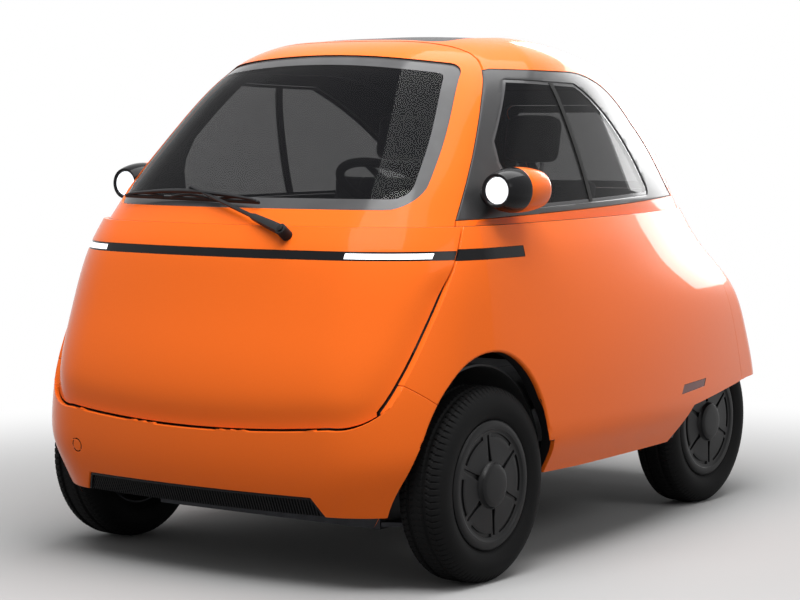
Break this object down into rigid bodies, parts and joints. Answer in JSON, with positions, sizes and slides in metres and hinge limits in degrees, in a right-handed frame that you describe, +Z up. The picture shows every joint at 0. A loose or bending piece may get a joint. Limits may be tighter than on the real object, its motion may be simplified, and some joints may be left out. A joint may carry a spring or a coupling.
{
  "type": "microcar",
  "caption": "Two-seat electric microcar with a rounded body, a front door that carries the windshield, a tail hatch and four covered wheels.",
  "frame": {"origin": "on the ground under the middle of the car's length and width", "axes": "+Z up, -Y towards the front of the car, +X towards the car's left side"},
  "size_m": [1.473, 2.5191, 1.5071],
  "materials": {
    "paint": "orange gloss paint",
    "glass": "dark tinted",
    "black_gloss": "satin black",
    "roof_fabric": "black woven",
    "lamp_white": "clear over white",
    "lamp_red": "dark red",
    "mirror": "silvered",
    "seal_rubber": "matte",
    "dark_steel": "black coated",
    "underbody": "black",
    "housing": "cast",
    "upholstery": "dark woven",
    "chrome": "polished",
    "interior_plastic": "grained",
    "tyre": "black",
    "wheel_black": "matte black"
  },
  "bodies": {
    "chassis": {"floor_pan": "underbody", "side_panel_left": "paint", "side_panel_right": "paint", "roof_frame": "paint", "sunroof": "roof_fabric", "front_bumper": "paint", "lower_grille": "black_gloss", "tail_panel": "paint", "side_windows": "glass", "window_frames": "black_gloss", "side_strips": "black_gloss", "side_reflectors": "lamp_red", "door_seal": "seal_rubber", "hatch_seal": "seal_rubber", "foot_tub": "underbody", "arch_liners": "underbody", "luggage_deck": "underbody", "front_beam": "dark_steel", "front_arms": "dark_steel", "rear_arms": "dark_steel", "dampers": "dark_steel", "drive_unit": "housing", "battery_pack": "housing", "seat_base": "upholstery", "seat_back": "upholstery", "headrests": "upholstery", "headrest_posts": "chrome", "steering_column": "dark_steel", "pod_shells": "black_gloss", "pod_caps": "paint", "headlamp_lenses": "lamp_white", "mirror_glasses": "mirror"},
    "front_door": {"door_shell": "paint", "door_frame": "paint", "windshield": "glass", "light_strip": "black_gloss", "daytime_lamps": "lamp_white", "dash_beam": "interior_plastic", "wiper": "interior_plastic"},
    "tail_hatch": {"hatch_shell": "paint", "hatch_frame": "paint", "rear_window": "glass", "tail_lamp": "lamp_red"},
    "steering_wheel": {"steering_wheel": "interior_plastic"},
    "knuckle_left": {"knuckle_left": "dark_steel"},
    "knuckle_right": {"knuckle_right": "dark_steel"},
    "wheel_front_left": {"tyre_front_left": "tyre", "wheel_front_left": "wheel_black"},
    "wheel_front_right": {"tyre_front_right": "tyre", "wheel_front_right": "wheel_black"},
    "wheel_rear_left": {"tyre_rear_left": "tyre", "wheel_rear_left": "wheel_black"},
    "wheel_rear_right": {"tyre_rear_right": "tyre", "wheel_rear_right": "wheel_black"}
  },
  "joints": [
    {"name": "door_hinge", "type": "hinge", "parent": "chassis", "child": "front_door", "pos_m": [0.656, -1.018, 0.704], "axis": [0, 0.1045, 0.9945], "range_deg": [0, 75]},
    {"name": "hatch_hinge", "type": "hinge", "parent": "chassis", "child": "tail_hatch", "pos_m": [0, 0.606, 1.35], "axis": [1, 0, 0], "range_deg": [0, 70]},
    {"name": "steer_left", "type": "hinge", "parent": "chassis", "child": "knuckle_left", "pos_m": [0.59, -0.799, 0.2665], "axis": [0, 0, 1], "range_deg": [-30, 30]},
    {"name": "steer_right", "type": "hinge", "parent": "chassis", "child": "knuckle_right", "pos_m": [-0.59, -0.799, 0.2665], "axis": [0, 0, 1], "range_deg": [-30, 30]},
    {"name": "steering_wheel_turn", "type": "hinge", "parent": "chassis", "child": "steering_wheel", "pos_m": [0.25, -0.64, 1.05], "axis": [0, 0.5, 0.866], "range_deg": [-450, 450]},
    {"name": "spin_front_left", "type": "hinge", "parent": "knuckle_left", "child": "wheel_front_left", "pos_m": [0.6285, -0.799, 0.2665], "axis": [1, 0, 0], "continuous": true},
    {"name": "spin_front_right", "type": "hinge", "parent": "knuckle_right", "child": "wheel_front_right", "pos_m": [-0.6285, -0.799, 0.2665], "axis": [1, 0, 0], "continuous": true},
    {"name": "spin_rear_left", "type": "hinge", "parent": "chassis", "child": "wheel_rear_left", "pos_m": [0.4305, 0.761, 0.2665], "axis": [1, 0, 0], "continuous": true},
    {"name": "spin_rear_right", "type": "hinge", "parent": "chassis", "child": "wheel_rear_right", "pos_m": [-0.4305, 0.761, 0.2665], "axis": [1, 0, 0], "continuous": true}
  ],
  "couplings": [
    {"joint": "steer_right", "follows": "steer_left", "ratio": 1},
    {"joint": "steering_wheel_turn", "follows": "steer_left", "ratio": 15}
  ]
}
